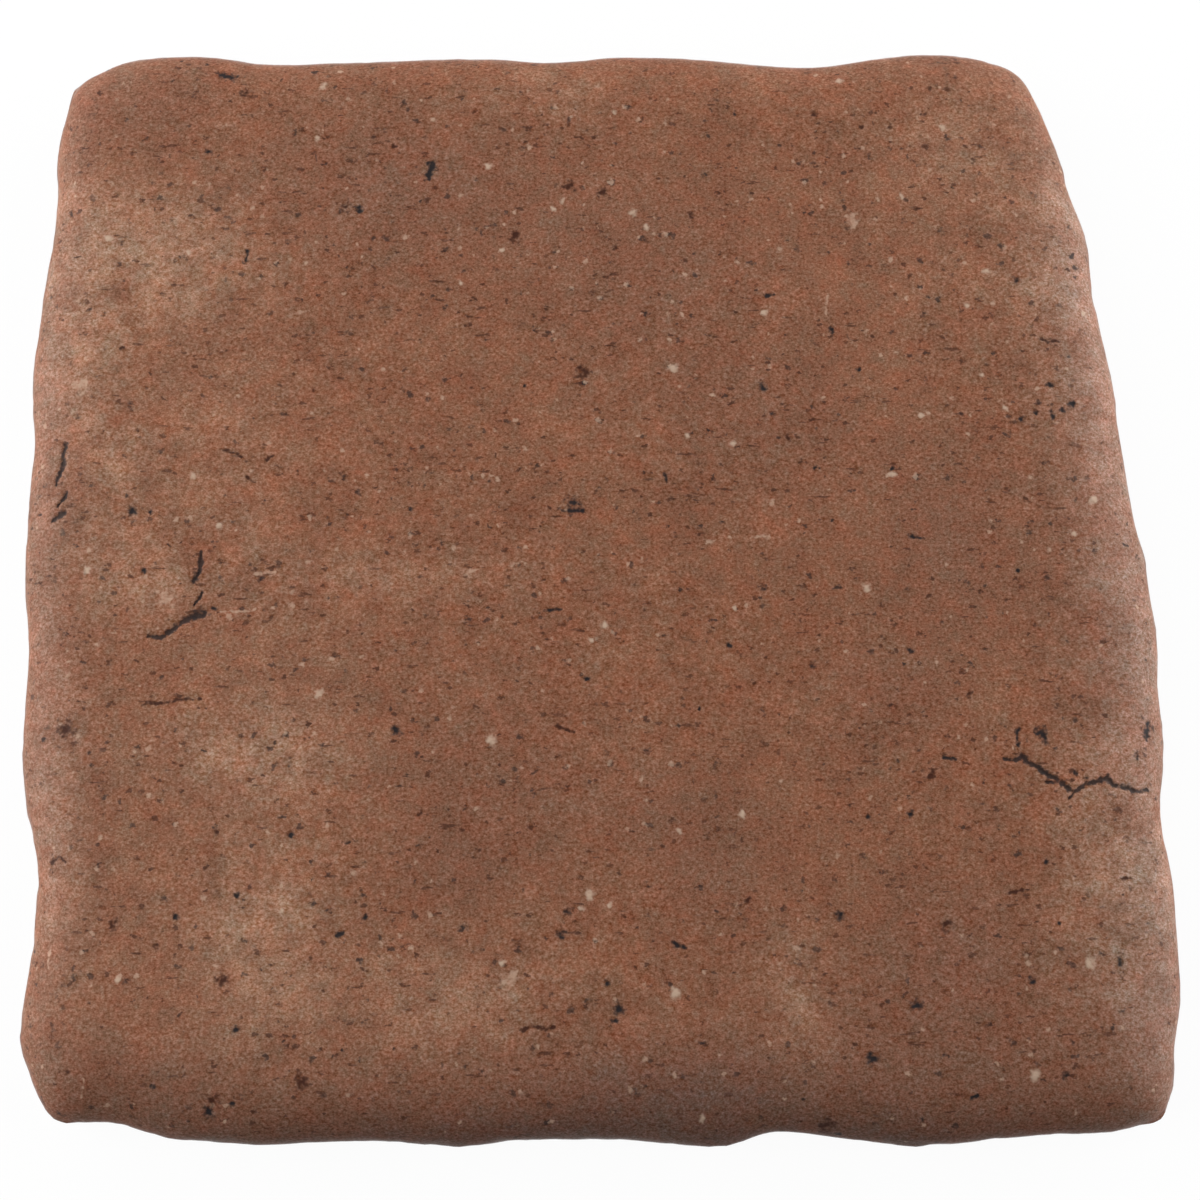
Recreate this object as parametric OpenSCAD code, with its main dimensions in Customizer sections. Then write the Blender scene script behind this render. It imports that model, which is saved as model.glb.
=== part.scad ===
// Rustic porcelain floor tile with a hand-broken outline, a soft cushion edge,
// a gently waving face and a back of pressed-in square cells.
// Its origin is under the middle of the tile, on the plane of the back's ribs.

/* [Tile] */
// Nominal length of one side, in mm
tile_side = 150; // [140:1:200]
// Height from the back ribs to the face, in mm
tile_thick = 10; // [8:0.5:12]
// How far the left and right sides lean out of square, in degrees
tile_skew = 3; // [0:0.5:4]
// How strongly the outline is broken, as a part of the usual amount
edge_break = 1; // [0:0.05:1.2]

/* [Cushion edge] */
// How far the soft edge reaches in over the face, in mm
cushion_run = 9; // [5:0.5:12]
// How far the soft edge drops below the face, in mm
cushion_drop = 5; // [3:0.25:6]
// How much that reach swells and shrinks along the edge, as a part of it
cushion_swell = 0.2; // [0:0.05:0.3]
// Width of the bevel round the foot of the wall, in mm
foot_bevel = 0.8; // [0.3:0.1:1.2]

/* [Face] */
// Height of the soft waves in the face, in mm
face_wave = 0.25; // [0:0.05:0.5]

/* [Back] */
// Number of pressed-in cells along a side, an even number so that ribs cross in the middle
back_cells = 8; // [4:2:10]
// Width of the ribs between the cells, in mm
rib_width = 2.5; // [1.5:0.1:3.5]
// Depth of the cells, in mm
cell_depth = 0.8; // [0.4:0.1:1.5]
// Plain border from the nominal side to the first cell, in mm
back_border = 15.5; // [15:0.5:20]
// Radius of the corners of a cell, in mm
cell_corner = 2; // [0.5:0.25:2.5]
// Slope of a cell's walls away from upright, so that the press lets go, in degrees
cell_draft = 25; // [10:5:40]

/* [Hidden] */

half = tile_side / 2;
wall_top = tile_thick - cushion_drop;
cushion_steps = 8;
face_rings = 5;
corner_reach = 2.2;
squareness = 7;
cell_pitch = (tile_side - 2 * back_border + rib_width) / back_cells;
cell_size = cell_pitch - rib_width;
cell_start = 0.5;

// Each side is a row of [station, set-back] pairs. The station runs from -1 to 1
// along the side, and the set-back is how many mm the edge stands inside the nominal line.
front_edge = [
  [-0.92, 3.25], [-0.84, 3.75], [-0.74, 1.5], [-0.6, 0.75], [-0.46, 1.25], [-0.38, 1.25],
  [-0.26, 0.5], [-0.14, 1.5], [0.02, 1.5], [0.08, 1], [0.18, 0.5], [0.24, 2.25],
  [0.28, 2.5], [0.5, 0.5], [0.7, 2], [0.82, 2.25], [0.9, 3.5]
];
right_edge = [
  [-0.94, 6.5], [-0.9, 5], [-0.82, 4.25], [-0.76, 2.75], [-0.56, 2], [-0.44, 2.75],
  [-0.32, 0.75], [-0.24, 1], [-0.12, 0], [-0.06, 0.5], [0.02, 0.25], [0.06, 1.25],
  [0.26, 2], [0.32, 1.75], [0.44, 2.75], [0.52, 3.25], [0.62, 3], [0.72, 5.25],
  [0.76, 5]
];
back_edge = [
  [0.88, 5.25], [0.86, 3], [0.76, 0.5], [0.64, 0.5], [0.5, 2.5], [0.42, 2.5],
  [0.24, 1], [0.1, 0.75], [0, 1.75], [-0.06, 1.75], [-0.14, 1], [-0.3, 1.5],
  [-0.58, 2.25], [-0.62, 1], [-0.7, 0.75], [-0.78, 1], [-0.84, 2], [-0.92, 5.5]
];
left_edge = [
  [0.92, 5.5], [0.82, 3.75], [0.76, 3.25], [0.66, 3.5], [0.48, 1.5], [0.36, 0.5],
  [0.28, 0.5], [0.24, 1], [0.04, 0], [-0.06, 0], [-0.16, 0.75], [-0.34, 0],
  [-0.4, 0.5], [-0.46, 1], [-0.52, 2.5], [-0.66, 2], [-0.82, 0.25], [-0.88, 1.75],
  [-0.94, 4]
];

// Corners of the broken outline, anticlockwise from the front left.
function set_back(mark) = mark[1] * edge_break;
function broken_square() = concat(
  [for (mark = front_edge) [mark[0] * half, set_back(mark) - half]],
  [for (mark = right_edge) [half - set_back(mark), mark[0] * half]],
  [for (mark = back_edge) [mark[0] * half, half - set_back(mark)]],
  [for (mark = left_edge) [set_back(mark) - half, mark[0] * half]]
);

// The point reached from one point towards another, never past the given part of the way.
function towards(from, to, reach, part) =
  from + (to - from) * min(part, reach / norm(to - from));

// A corner softened by a short curve from the side before it to the side after it.
function soft_corner(before, corner, after) =
  let (start = towards(corner, before, corner_reach, 0.45),
       end = towards(corner, after, corner_reach, 0.45))
  [start, (start + 2 * corner + end) / 4, end];

function softened(corners) =
  let (n = len(corners))
  [for (i = [0:n - 1])
    for (p = soft_corner(corners[(i + n - 1) % n], corners[i], corners[(i + 1) % n])) p];

function skewed(points) = [for (p = points) [p[0] - p[1] * tan(tile_skew), p[1]]];

function middle(points, axis) =
  (min([for (p = points) p[axis]]) + max([for (p = points) p[axis]])) / 2;

function centred(points) =
  let (mid = [middle(points, 0), middle(points, 1)])
  [for (p = points) p - mid];

outline = centred(skewed(softened(broken_square())));
stations = len(outline);

// The way in from the outline: square to each side, and turning smoothly round the corners.
function way_in(p) =
  let (x = p[0] / half,
       y = p[1] / half,
       out = [sign(x) * pow(abs(x), squareness), sign(y) * pow(abs(y), squareness)])
  -out / norm(out);

// The soft edge reaches in a little further here and a little less there.
function reach_in(p) =
  let (turn = atan2(p[1], p[0]))
  cushion_run * (1 + cushion_swell * (0.6 * sin(5 * turn + 40) + 0.4 * sin(13 * turn)));

// Low waves that cross the face, dying out towards the edge.
function wave(p) = face_wave * (sin(2.3 * p[0] + 30) * sin(1.9 * p[1]) + 0.5 * sin(4.1 * p[1] + 3 * p[0]));

function foot_ring(inset, height) =
  [for (p = outline) let (q = p + way_in(p) * inset) [q[0], q[1], height]];

function cushion_ring(turn) =
  [for (p = outline)
    let (q = p + way_in(p) * reach_in(p) * (1 - cos(turn)))
    [q[0], q[1], wall_top + cushion_drop * sin(turn)]];

function face_ring(part) =
  let (rim = cushion_ring(90),
       fade = sin(90 * min(1, 2 * part)))
  [for (p = rim)
    let (q = [p[0], p[1]] * (1 - part))
    [q[0], q[1], tile_thick + fade * wave(q)]];

rings = concat(
  [foot_ring(foot_bevel, 0), foot_ring(0, foot_bevel), foot_ring(0, wall_top)],
  [for (k = [1:cushion_steps]) cushion_ring(90 * k / cushion_steps)],
  [for (k = [1:face_rings - 1]) face_ring(k / face_rings)]
);

function ring_join(low) =
  [for (i = [0:stations - 1])
    let (a = low * stations + i,
         b = low * stations + (i + 1) % stations)
    each [[a, b + stations, b], [a, a + stations, b + stations]]];

// The pressed body: rings of points from the foot of the wall up and in to the middle of the face.
module body() {
  top_start = (len(rings) - 1) * stations;
  middle_point = len(rings) * stations;
  polyhedron(
    points = concat([for (ring = rings) each ring], [[0, 0, tile_thick + wave([0, 0])]]),
    faces = concat(
      [[for (i = [0:stations - 1]) i]],
      [for (low = [0:len(rings) - 2]) each ring_join(low)],
      [for (i = [0:stations - 1]) [top_start + i, middle_point, top_start + (i + 1) % stations]]
    )
  );
}

function arc(centre, radius, from) =
  [for (turn = [0:30:90]) centre + radius * [cos(from + turn), sin(from + turn)]];

function round_square(size, radius) =
  let (c = size / 2 - radius)
  concat(arc([c, c], radius, 0), arc([-c, c], radius, 90), arc([-c, -c], radius, 180),
    arc([c, -c], radius, 270));

// One pressed-in cell. Its walls lean in towards its floor.
module cell() {
  mouth = cell_size + 2 * cell_start * tan(cell_draft);
  bottom = cell_size - 2 * cell_depth * tan(cell_draft);
  translate([0, 0, -cell_start])
    linear_extrude(cell_depth + cell_start, scale = bottom / mouth)
      polygon(round_square(mouth, cell_corner));
}

module cell_field() {
  for (column = [0:back_cells - 1], row = [0:back_cells - 1])
    translate([column - (back_cells - 1) / 2, row - (back_cells - 1) / 2, 0] * cell_pitch)
      cell();
}

module tile() {
  color("#86614b")
    difference() {
      body();
      cell_field();
    }
}

tile();
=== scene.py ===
"""Looks of a rustic porcelain tile, built over its CAD frame.

The tile is one fired piece: a square that leans a little out of true, with a broken outline, a soft
cushion edge and a face whose fired clay shows grain, iron specks, cream grit and hairline cracks.
Lengths are in metres. Marks on the face are placed in millimetres from the tile's middle.
"""

import logging
import math
from dataclasses import dataclass, field
from enum import Enum

import bmesh
import bpy
import numpy as np
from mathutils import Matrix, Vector, noise
from mathutils.bvhtree import BVHTree

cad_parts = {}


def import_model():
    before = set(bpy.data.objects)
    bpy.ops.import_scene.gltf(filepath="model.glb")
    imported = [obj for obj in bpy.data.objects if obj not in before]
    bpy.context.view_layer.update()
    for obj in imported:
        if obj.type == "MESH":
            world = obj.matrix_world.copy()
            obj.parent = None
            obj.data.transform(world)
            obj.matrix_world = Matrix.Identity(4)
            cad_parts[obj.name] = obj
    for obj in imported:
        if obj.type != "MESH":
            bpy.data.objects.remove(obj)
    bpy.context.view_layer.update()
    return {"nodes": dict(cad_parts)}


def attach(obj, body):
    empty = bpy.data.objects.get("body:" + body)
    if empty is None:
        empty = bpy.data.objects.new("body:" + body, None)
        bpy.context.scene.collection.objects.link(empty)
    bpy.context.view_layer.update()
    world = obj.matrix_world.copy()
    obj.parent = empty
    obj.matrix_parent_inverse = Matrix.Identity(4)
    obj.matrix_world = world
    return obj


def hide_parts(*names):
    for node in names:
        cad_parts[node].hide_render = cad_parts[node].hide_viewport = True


LOG = logging.getLogger("tile")
NODE = "tile"
BODY = "root"
BAKE_MAP = "OFBake"
NOISE_SEED = 1
MM = 0.001

Colour = tuple[float, float, float, float]
Change = tuple[float, float, float]
Place = tuple[float, float]
Path = tuple[Place, ...]
Socket = bpy.types.NodeSocket

WHITE: Colour = (1.0, 1.0, 1.0, 1.0)


def paint(red: int, green: int, blue: int) -> Colour:
    """Turns a paint chip's values into a linear colour.

    Args:
        red: Red, from 0 to 255.
        green: Green, from 0 to 255.
        blue: Blue, from 0 to 255.

    Returns:
        The linear colour, opaque.
    """
    def linear(level: int) -> float:
        """One channel, from its display value to linear light."""
        part = level / 255.0
        return part / 12.92 if part <= 0.04045 else ((part + 0.055) / 1.055) ** 2.4

    return linear(red), linear(green), linear(blue), 1.0


class Graph:
    """A hand for wiring one node tree."""

    def __init__(self, tree: bpy.types.NodeTree) -> None:
        """Takes the tree that the nodes go in."""
        self.tree = tree

    def add(self, kind: str, inputs: dict | None = None, **settings: object) -> bpy.types.Node:
        """Adds a node, sets its options, and fills or links its inputs.

        Args:
            kind: The node's type name after ShaderNode.
            inputs: Values or sockets, by input name or index.
            settings: The node's own options.

        Returns:
            The new node.
        """
        node = self.tree.nodes.new("ShaderNode" + kind)
        for name, value in settings.items():
            setattr(node, name, value)
        for key, value in (inputs or {}).items():
            if isinstance(value, Socket):
                self.tree.links.new(value, node.inputs[key])
            else:
                node.inputs[key].default_value = value
        return node

    def math(self, operation: str, *terms: float | Socket) -> Socket:
        """Adds a Math node, with its inputs in order, and returns its result."""
        return self.add("Math", dict(enumerate(terms)), operation=operation).outputs[0]

    def vector(self, operation: str, inputs: dict) -> Socket:
        """Adds a Vector Math node and returns its result."""
        return self.add("VectorMath", inputs, operation=operation).outputs[0]

    def blend(self, amount: float | Socket, first: Colour | Socket, second: Colour | Socket) -> Socket:
        """Mixes two colours. The amount is how much of the second one shows."""
        return self.add("Mix", {0: amount, 6: first, 7: second}, data_type="RGBA").outputs[2]

    def vary(self, colour: Socket, amount: Socket, change: Change) -> Socket:
        """Makes a colour lighter and darker.

        Args:
            colour: The colour.
            amount: How far it changes, about 0.
            change: How strongly red, green and blue follow.

        Returns:
            The changed colour.
        """
        half = self.math("MULTIPLY", amount, 0.5)
        steps = self.vector("SCALE", {0: change, "Scale": half})
        parts = self.vector("ADD", {0: steps, 1: (1.0, 1.0, 1.0)})
        for _ in range(2):
            colour = self.vector("MULTIPLY", {0: colour, 1: parts})
        return colour

    def step(self, value: Socket, low: float | Socket, high: float | Socket,
             start: float = 0.0, end: float = 1.0) -> Socket:
        """Turns a value into a soft step between two results."""
        inputs = {"Value": value, "From Min": low, "From Max": high, "To Min": start, "To Max": end}
        return self.add("MapRange", inputs, interpolation_type="SMOOTHSTEP").outputs[0]

    def noise(self, place: Socket, scale: float | Socket, detail: float = 2.0,
              rough: float = 0.5) -> Socket:
        """Adds a noise texture, 0.5 on average, with its scale in waves to the metre."""
        inputs = {"Vector": place, "Scale": scale, "Detail": detail, "Roughness": rough}
        return self.add("TexNoise", inputs).outputs[0]

    def stretch(self, place: Socket, along: float) -> Socket:
        """The place to read a pattern at, so that it gets longer from left to right."""
        return self.add("Mapping", {"Vector": place, "Scale": (1 / along, 1.0, 1.0)}).outputs[0]

    def object_place(self) -> Socket:
        """The place on the piece, in metres."""
        return self.add("TexCoord").outputs["Object"]

    def attribute(self, name: str) -> Socket:
        """The value that the mesh carries under a name."""
        return self.add("Attribute", attribute_name=name).outputs["Fac"]

    def group(self, tree: bpy.types.NodeTree, inputs: dict) -> Socket:
        """Places a node group and returns its output."""
        return self.add("Group", inputs, node_tree=tree).outputs[0]


class GroupName(Enum):
    """The effects that more than one finish uses."""

    GRAIN = "clay_grain"
    SPECKS = "clay_specks"
    MOTTLE = "clay_mottle"


@dataclass
class ClayEffects:
    """The shader node groups for fired clay, each built once."""

    trees: dict[GroupName, bpy.types.NodeTree] = field(default_factory=dict)

    def __post_init__(self) -> None:
        """Builds every group."""
        self.trees[GroupName.GRAIN] = self._grain()
        self.trees[GroupName.SPECKS] = self._specks()
        self.trees[GroupName.MOTTLE] = self._mottle()

    @staticmethod
    def _start(name: GroupName, inputs: tuple[str, ...]) -> tuple[Graph, dict, bpy.types.Node]:
        """Starts a group that reads a Vector and some values, and gives one value.

        Args:
            name: The group's name.
            inputs: The names of its value inputs.

        Returns:
            A Graph on it, its input sockets by name, and its output node.
        """
        tree = bpy.data.node_groups.new(name.value, "ShaderNodeTree")
        tree.interface.new_socket(name="Vector", in_out="INPUT", socket_type="NodeSocketVector")
        for label in inputs:
            tree.interface.new_socket(name=label, in_out="INPUT", socket_type="NodeSocketFloat")
        tree.interface.new_socket(name="Value", in_out="OUTPUT", socket_type="NodeSocketFloat")
        sockets = {socket.name: socket for socket in tree.nodes.new("NodeGroupInput").outputs}
        return Graph(tree), sockets, tree.nodes.new("NodeGroupOutput")

    def _grain(self) -> bpy.types.NodeTree:
        """Salt-and-pepper grain that lies a little flat, about 0. Size is the widest grain's.

        Returns:
            The group.
        """
        graph, inputs, output = self._start(GroupName.GRAIN, ("Size",))
        scale = graph.math("DIVIDE", 1.0, inputs["Size"])
        flat = graph.stretch(inputs["Vector"], 1.25)
        grains = graph.noise(flat, scale, detail=1.0, rough=1.0)
        graph.tree.links.new(graph.math("SUBTRACT", grains, 0.5), output.inputs[0])
        return graph.tree

    def _specks(self) -> bpy.types.NodeTree:
        """Scattered ragged specks: 1 inside one. Share is the part of the places that hold one.

        Returns:
            The group.
        """
        names = ("Spacing", "Width", "Share", "Ragged")
        graph, inputs, output = self._start(GroupName.SPECKS, names)
        scale = graph.math("DIVIDE", 1.0, inputs["Spacing"])
        swirl = graph.add("TexNoise", {"Vector": inputs["Vector"], "Scale": scale, "Detail": 1.0})
        bend = graph.math("MULTIPLY", inputs["Width"], 1.6)
        moved = graph.vector("SCALE", {0: swirl.outputs["Color"], "Scale": bend})
        place = graph.vector("ADD", {0: inputs["Vector"], 1: moved})
        cells = graph.add("TexVoronoi", {"Vector": place, "Scale": scale})
        chance = graph.add("SeparateColor", {0: cells.outputs["Color"]})
        shown = graph.math("LESS_THAN", chance.outputs[0], inputs["Share"])
        growth = graph.math("MULTIPLY_ADD", chance.outputs[1], 0.3, 0.2)
        reach = graph.math("MULTIPLY", cells.outputs["Distance"], inputs["Spacing"])
        widths = graph.math("DIVIDE", reach, inputs["Width"])
        wobble = graph.noise(inputs["Vector"], graph.math("DIVIDE", 2.0, inputs["Width"]), detail=1.0)
        shift = graph.math("MULTIPLY", graph.math("SUBTRACT", wobble, 0.5), inputs["Ragged"])
        inside = graph.math("SUBTRACT", growth, graph.math("ADD", widths, shift))
        mask = graph.math("MULTIPLY", graph.step(inside, -0.18, 0.24), shown)
        faint = graph.math("MULTIPLY_ADD", chance.outputs[2], 0.65, 0.35)
        graph.tree.links.new(graph.math("MULTIPLY", mask, faint), output.inputs[0])
        return graph.tree

    def _mottle(self) -> bpy.types.NodeTree:
        """Cloudy unevenness of many sizes, about 0. Size is the widest cloud's.

        Returns:
            The group.
        """
        graph, inputs, output = self._start(GroupName.MOTTLE, ("Size",))
        scale = graph.math("DIVIDE", 1.0, inputs["Size"])
        clouds = graph.noise(inputs["Vector"], scale, detail=3.0, rough=1.0)
        graph.tree.links.new(graph.math("SUBTRACT", clouds, 0.5), output.inputs[0])
        return graph.tree


class MarkKind(Enum):
    """What a single mark on the face is, and the mesh attribute that carries it."""

    CRACK = "mark_crack"
    IRON = "mark_iron"
    UMBER = "mark_umber"
    GRIT = "mark_grit"
    CHALK = "mark_chalk"


@dataclass(frozen=True)
class Mark:
    """One mark on the face.

    Attributes:
        kind: What it is.
        width: Its width where it starts, in mm.
        path: Where it runs, in mm from the tile's middle. One point is a spot.
        taper: Part of the width that is lost on the way to its end.
    """

    kind: MarkKind
    width: float
    path: Path
    taper: float = 0.0

    def level(self, places: np.ndarray) -> np.ndarray:
        """How deep inside the mark each place is.

        Args:
            places: Places on the face, in mm, one a row.

        Returns:
            1 on the mark's middle line, 0.5 at its edge and less outside, down to no limit.
        """
        points = np.array(self.path, dtype=float)
        level = 1.0 - np.linalg.norm(places - points[0], axis=1) / self.width
        for index, (start, end) in enumerate(zip(points[:-1], points[1:])):
            run = end - start
            part = np.clip((places - start) @ run / (run @ run), 0.0, 1.0)
            gap = np.linalg.norm(places - start - part[:, None] * run, axis=1)
            width = self.width * (1.0 - self.taper * (index + part) / (len(points) - 1))
            level = np.maximum(level, 1.0 - gap / width)
        return level


def spots(kind: MarkKind, width: float, *places: Place) -> list[Mark]:
    """Spots of one kind and width."""
    return [Mark(kind, width, (place,)) for place in places]


def strokes(kind: MarkKind, width: float, *paths: Path, taper: float = 0.4) -> list[Mark]:
    """Strokes of one kind and width."""
    return [Mark(kind, width, path, taper) for path in paths]


def cracks() -> list[Mark]:
    """The open hairline cracks near the left and right edges.

    Returns:
        One mark for each stretch.
    """
    return [
        *strokes(
            MarkKind.CRACK, 0.85,
            ((-49.1, -8), (-50.6, -8.3), (-52, -8.9), (-53.3, -9.8), (-55, -10.9), (-56.5, -11)),
            taper=0.5,
        ),
        *strokes(
            MarkKind.CRACK, 0.74,
            ((55.6, -26.1), (56.5, -27.1), (57.4, -27.8), (59.7, -29.1), (60.9, -29.9), (62, -30.6),
             (63.7, -29.8), (66.4, -28.9), (67.2, -30), (69.1, -30.3), (69.9, -30.8), (71.7, -30.6)),
            taper=0.3,
        ),
        *strokes(
            MarkKind.CRACK, 0.8,
            ((-69, 15.2), (-69.3, 12.5), (-70, 9.8)),
            ((-68.5, 6), (-70.3, 4.7)),
            ((-50.9, -3.5), (-50.3, -2.4)), ((-50.2, -1.9), (-50.1, 0.3)),
        ),
        *strokes(
            MarkKind.CRACK, 0.5,
            ((55.6, -26.1), (54.7, -26.9), (53.4, -26.6)),
            ((60.2, -29.6), (58.3, -29.6)), ((61.9, -30.7), (61.4, -31.6)),
            ((-68.5, 8.5), (-69.6, 6.6)),
            ((-49.6, -5), (-50.7, -6.9)),
        ),
    ]


def iron_marks() -> list[Mark]:
    """The blue-black iron specks that stand out.

    Returns:
        One mark for each speck.
    """
    iron = MarkKind.IRON
    return [
        *strokes(
            iron, 1.1,
            ((-21.2, 55.2), (-21.6, 53)), ((-1.9, 7.4), (-1, 6.6)), ((-1.9, 5.8), (-0.4, 5.6)),
            ((-49.3, 68.6), (-51.3, 69.2)), ((72.6, -22.4), (72.2, -24)),
            ((58.2, -23.2), (58.8, -24.6)),
        ),
        *strokes(
            iron, 0.58,
            ((55.4, -23), (55.2, -25)), ((-5, -7.3), (-3, -7.1)), ((42.4, 2.6), (44.2, 2.2)),
            ((24.3, 36), (25.3, 36.1)), ((10.6, 10.7), (10.7, 9.8)), ((46, -26.6), (47.2, -26.8)),
            ((61.9, 19.6), (62.3, 18.6)),
            ((-30.8, -48.6), (-29.9, -48.2)), ((47.6, -68.3), (48.2, -67.9)),
            ((11.2, -49.7), (12.6, -50.1)), ((-46.1, 42.4), (-46.2, 41.2)),
        ),
        *spots(iron, 1.2, (35.3, -63.5), (41, -57.1), (-45.9, -69.9), (4.2, -57.5), (-24.1, -23)),
        *spots(
            iron, 0.9,
            (31.8, -46.4), (-59.5, 5.9), (-15.1, -47.7), (-2.1, -46), (59, -65.7), (-42.9, -60.3),
            (66.7, -52), (58.2, 38.2), (41.2, -33.7), (23.6, 22.9), (-2.9, -48.5), (-31, 48.6),
        ),
        *spots(
            iron, 0.7,
            (65, 20.8), (63.6, 20), (24.8, 19.4), (2.9, -54.3), (-51.9, 57.1), (-57.5, -2.1),
            (29.4, -14.7), (23.1, -4.4), (42.1, -12.8), (55.5, -54.2), (33, 31), (-27.2, -46.6),
            (-37.1, -36.2), (-43.4, -43.8), (70.5, -26.2), (-53, -66.6), (58.1, 18.4), (62.1, 23.4),
            (-57.2, 5.9), (0.3, -16.3), (18.5, -11.9), (-51.1, -46.3), (35.9, -34.1), (3.9, -59.1),
            (-48, -7.1),
        ),
        *spots(
            iron, 0.48,
            (62.4, -28.4), (63.6, -29),
            (60.1, 19.5), (32.4, 4.5), (30.4, 11.7), (-63.6, 61.8), (57.4, 50.3), (58, -39.7),
            (20.6, 62.9), (-22.9, 6.1), (-3.3, 6.2), (-43.1, -69), (-72, 5.7), (36.5, 25.5),
            (56.4, -2.1), (40.5, 11.8), (59.1, -47.2), (-8, 23.1), (46.2, 35.6), (14.6, -20.2),
        ),
    ]


def umber_marks() -> list[Mark]:
    """The brown-black specks and the brown streaks that stand out.

    Returns:
        One mark for each speck or streak.
    """
    umber = MarkKind.UMBER
    return [
        *strokes(
            umber, 0.47,
            ((-56.6, -19.6), (-54, -19.6), (-52, -19), (-49, -19)),
            ((-48, 14.6), (-46.2, 13.8), (-44.8, 12.8)),
            ((-44.6, 10.6), (-43.6, 9.9)), ((-42.2, 12.9), (-41.4, 13.4)),
            ((-7.7, -60.2), (-6.4, -59.8), (-4.9, -59.9)), ((61.4, 29.9), (63.8, 29.6)),
            ((53, -43.5), (55.8, -43.2)), ((-67.5, -39.8), (-66.2, -39), (-65.4, -39.8)),
            ((-3.4, -22.6), (-1.4, -23.2)), ((26.6, 16.4), (27.2, 15.4)),
            ((67.4, -41.6), (68.8, -41.8)), ((-4.6, -60), (-3.6, -59.8)),
        ),
        *spots(umber, 1.5, (-66.4, -22.6), (-34.9, -66.3), (29.8, -71.6)),
        *spots(
            umber, 1.2,
            (-32.9, 49), (-9.5, 44.5), (2.1, 51.1), (-2.2, 51.8), (-44.7, -54.2), (44, -28.8),
            (-47.3, 65.8), (-0.3, 25), (-45.3, -68.7), (45.1, -47.5), (-58.6, -47.2),
        ),
        *spots(
            umber, 0.62,
            (38, 60.7), (42.1, 60.7), (3.9, 43.1), (18, 55.1), (-63.6, -65.1), (-53.2, -50.1),
            (-46.3, -36.1), (20.6, -44.4), (-12.2, 39.6), (-36.3, 22.7), (14.4, 47.8), (31.5, 62.6),
            (-26.4, 57.8), (49.2, -18.3), (-20.6, -33.4), (-62.2, 28.6),
        ),
    ]


def pale_marks() -> list[Mark]:
    """The cream grit and the dry chalky smears and scratches that stand out.

    Returns:
        One mark for each grain, smear or scratch.
    """
    grit, chalk = MarkKind.GRIT, MarkKind.CHALK
    return [
        *spots(
            grit, 1.15,
            (11.4, -55.8), (-12, -24.3), (62.7, -51.9), (55.1, -65.6),
        ),
        *spots(
            grit, 0.9,
            (0.8, -43.7), (54.3, 39.5), (6.5, 48), (-13.5, 55), (-64.9, -1.9), (36.5, -4.3),
            (-36.4, 67.1), (-65, 44.3), (66.9, 7.6), (11.7, 25.7), (-34.1, -18.1), (2.6, -9.5),
        ),
        *spots(
            grit, 0.72,
            (-37, 59.1), (43.3, 50.5), (44.7, 19.1), (49.5, 60.6), (24, 33.5), (20, -33.7),
            (35.4, 68.3), (51.6, 34.5), (8.3, 45.9), (40.6, 10.9), (-0.4, -45.6), (55.8, 20.2),
            (14.6, -70.7),
        ),
        *spots(
            grit, 0.6,
            (-53.9, 42.2), (64.1, 2.9), (-11.4, 42.6), (53, 24.8), (12, -35.9), (-57.9, -54.2),
            (-4.5, 48.6), (19.3, -7.3), (3.2, -45.1), (-17, 37.8), (3.9, 63.2), (-51.8, 10.8),
            (-48.1, 3.9), (13.5, 16.2), (19.6, 15.1), (-37.8, -45.7), (0.8, -11.5), (-10.3, -52),
            (-3.2, 49.7), (67.5, 34.1),
        ),
        *spots(chalk, 1.6, (-54.2, -6), (-67.6, 23.2)),
        *strokes(chalk, 1.2, ((-9.8, -54.6), (-8.6, -53.3)), ((36.2, 47.4), (36.5, 46.2))),
        *strokes(
            chalk, 0.32,
            ((-47, -7.6), (-44.5, -7.5), (-42, -7.3)), ((-42.9, -2.6), (-40.4, -2.4)),
            ((-15.9, -2.4), (-13.8, -2)), ((-10.2, -1.3), (-8.2, -0.9)), ((16, 1.7), (19.2, 2.3)),
            ((21.8, 2.1), (24.2, 2.5)), ((-12.6, 10.8), (-11.4, 10.1)), ((32.8, 35.8), (32.6, 33)),
            ((-61.6, -66), (-61.8, -68.4)), ((-66.8, -50.6), (-66.8, -52.8)),
        ),
    ]


def face_marks() -> list[Mark]:
    """Every mark that stands out on this tile's face."""
    return [*cracks(), *iron_marks(), *umber_marks(), *pale_marks()]


class PatchKind(Enum):
    """What a soft patch of the face is, and the mesh attribute that carries it."""

    DUST = "patch_dust"
    # Smoked patches, and painted shade along the near edge.
    SMOKE = "patch_smoke_and_shade"
    # Painted highlight along the left and right edges.
    BLOOM = "patch_painted_highlight"


@dataclass(frozen=True)
class Patch:
    """A soft patch of the face's colour.

    Attributes:
        kind: What it is.
        middle: Its middle, in mm from the tile's middle.
        size: Its reach along X and Y, in mm.
        strength: How strong it is in its middle.
    """

    kind: PatchKind
    middle: Place
    size: Place
    strength: float

    def level(self, places: np.ndarray) -> np.ndarray:
        """How strong the patch is at each place."""
        away = (places - np.array(self.middle)) / np.array(self.size)
        return self.strength * np.exp(-(away ** 2).sum(axis=1))


def patches(kind: PatchKind, *parts: tuple[Place, Place, float]) -> list[Patch]:
    """Patches of one kind, each given by its middle, its size and its strength."""
    return [Patch(kind, middle, size, strength) for middle, size, strength in parts]


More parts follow.
